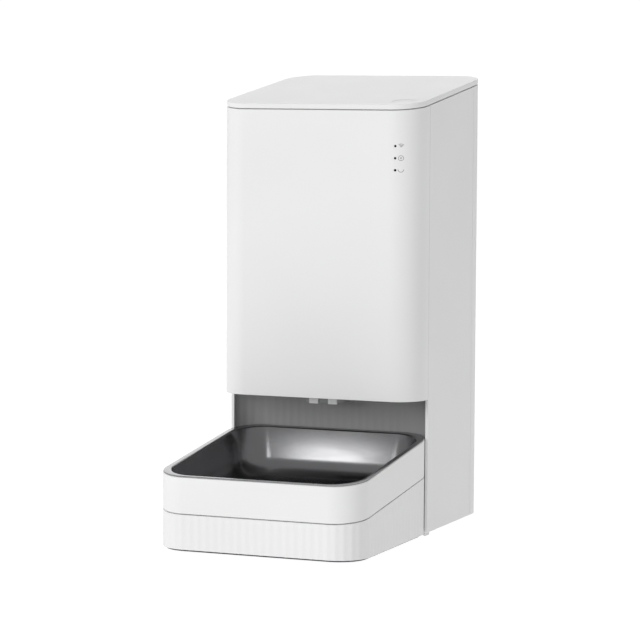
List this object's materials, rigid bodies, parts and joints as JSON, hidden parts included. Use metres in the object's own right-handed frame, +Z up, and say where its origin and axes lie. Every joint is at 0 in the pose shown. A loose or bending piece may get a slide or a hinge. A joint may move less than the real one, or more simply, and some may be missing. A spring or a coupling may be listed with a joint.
{
  "type": "automatic pet feeder",
  "caption": "White tower pet feeder with a lift-off lid, a driven rotor over a short chute, and a pull-out tray holding a lift-out steel bowl.",
  "frame": {"origin": "on the floor, under the middle of the whole footprint", "axes": "+X to the feeder's left as it faces its user (right in a front view), +Y to the back, +Z up"},
  "size_m": [0.17, 0.2822, 0.3644],
  "materials": {
    "shell_white": "fine satin white ABS",
    "recess_grey": "satin grey ABS",
    "inner_white": "plain moulded white ABS",
    "hopper_smoke": "smooth grey food-grade plastic",
    "bowl_steel": "polished stainless steel",
    "machine_steel": "bright zinc-plated steel",
    "rubber_black": "matt rubber",
    "silicone": "soft matt silicone",
    "bronze": "sintered bronze",
    "gear_plastic": "acetal",
    "board_green": "coated circuit board",
    "dark_plastic": "black moulded plastic",
    "lamp_lens": "smoked clear plastic"
  },
  "bodies": {
    "tower": {"front_cover": "shell_white", "left_side_panel": "shell_white", "right_side_panel": "shell_white", "rear_cover": "shell_white", "base_plate": "inner_white", "body_feet": "rubber_black", "niche_wall": "recess_grey", "niche_ceiling": "recess_grey", "mid_frame": "inner_white", "support_posts": "inner_white", "top_frame": "inner_white", "hopper": "hopper_smoke", "hopper_gasket": "silicone", "rotor_housing": "inner_white", "portion_guard": "hopper_smoke", "rotor_bush": "bronze", "outlet_chute": "recess_grey", "outlet_tabs": "shell_white", "gearbox_case": "inner_white", "gearbox_cover": "inner_white", "idler_pin": "machine_steel", "motor": "machine_steel", "main_board": "board_green", "board_parts": "dark_plastic", "indicator_board": "board_green", "light_pipes": "lamp_lens", "power_inlet": "dark_plastic", "frame_screws": "machine_steel", "base_screws": "machine_steel", "housing_screws": "machine_steel", "gearbox_screws": "machine_steel", "board_screws": "machine_steel"},
    "reset_button": {"reset_button": "shell_white"},
    "rotor": {"rotor_shaft": "machine_steel", "drive_gear": "gear_plastic", "rotor_hub": "inner_white", "rotor_blades": "silicone", "agitator": "inner_white"},
    "idler": {"idler_gear": "gear_plastic"},
    "motor_drive": {"motor_shaft": "machine_steel", "motor_pinion": "bronze"},
    "lid": {"lid_top": "shell_white", "lid_liner": "inner_white", "lid_seal": "silicone", "bolt_spring": "machine_steel", "button_spring": "machine_steel"},
    "lid_button": {"lid_button": "shell_white"},
    "latch_bolt": {"latch_bolt": "gear_plastic"},
    "desiccant": {"desiccant_box": "hopper_smoke", "desiccant_grille": "inner_white"},
    "tray": {"tray_base": "shell_white", "tray_ring": "shell_white", "tray_bottom": "dark_plastic", "tray_feet": "rubber_black", "tray_screws": "machine_steel"},
    "bowl": {"steel_bowl": "bowl_steel"}
  },
  "joints": [
    {"name": "lid_lift", "type": "slide", "parent": "tower", "child": "lid", "axis": [0, 0, 1], "range_m": [0, 0.06]},
    {"name": "lid_button_press", "type": "slide", "parent": "lid", "child": "lid_button", "axis": [0, 0, -1], "range_m": [0, 0.0015], "stiffness_N_per_m": 200, "springref_m": -0.001, "deforming": ["button_spring"]},
    {"name": "bolt_slide", "type": "slide", "parent": "lid", "child": "latch_bolt", "axis": [-1, 0, 0], "range_m": [0, 0.0015], "stiffness_N_per_m": 100},
    {"name": "desiccant_pull", "type": "slide", "parent": "lid", "child": "desiccant", "axis": [0, 0, -1], "range_m": [0, 0.03]},
    {"name": "reset_button_press", "type": "slide", "parent": "tower", "child": "reset_button", "axis": [0, -1, 0], "range_m": [0, 0.0012], "stiffness_N_per_m": 200, "springref_m": -0.001},
    {"name": "rotor_spin", "type": "hinge", "parent": "tower", "child": "rotor", "pos_m": [0, 0.064, 0.15], "axis": [0, 0, 1], "continuous": true},
    {"name": "idler_spin", "type": "hinge", "parent": "tower", "child": "idler", "pos_m": [0, 0.094, 0.118], "axis": [0, 0, 1], "continuous": true},
    {"name": "motor_spin", "type": "hinge", "parent": "tower", "child": "motor_drive", "pos_m": [0, 0.118, 0.118], "axis": [0, 0, 1], "continuous": true},
    {"name": "tray_pull", "type": "slide", "parent": "tower", "child": "tray", "axis": [0, -1, 0], "range_m": [0, 0.08]},
    {"name": "bowl_lift", "type": "slide", "parent": "tray", "child": "bowl", "axis": [0, 0, 1], "range_m": [0, 0.018]}
  ],
  "couplings": [
    {"joint": "bolt_slide", "follows": "lid_button_press", "ratio": 1},
    {"joint": "idler_spin", "follows": "rotor_spin", "ratio": -4},
    {"joint": "motor_spin", "follows": "rotor_spin", "ratio": 12}
  ]
}
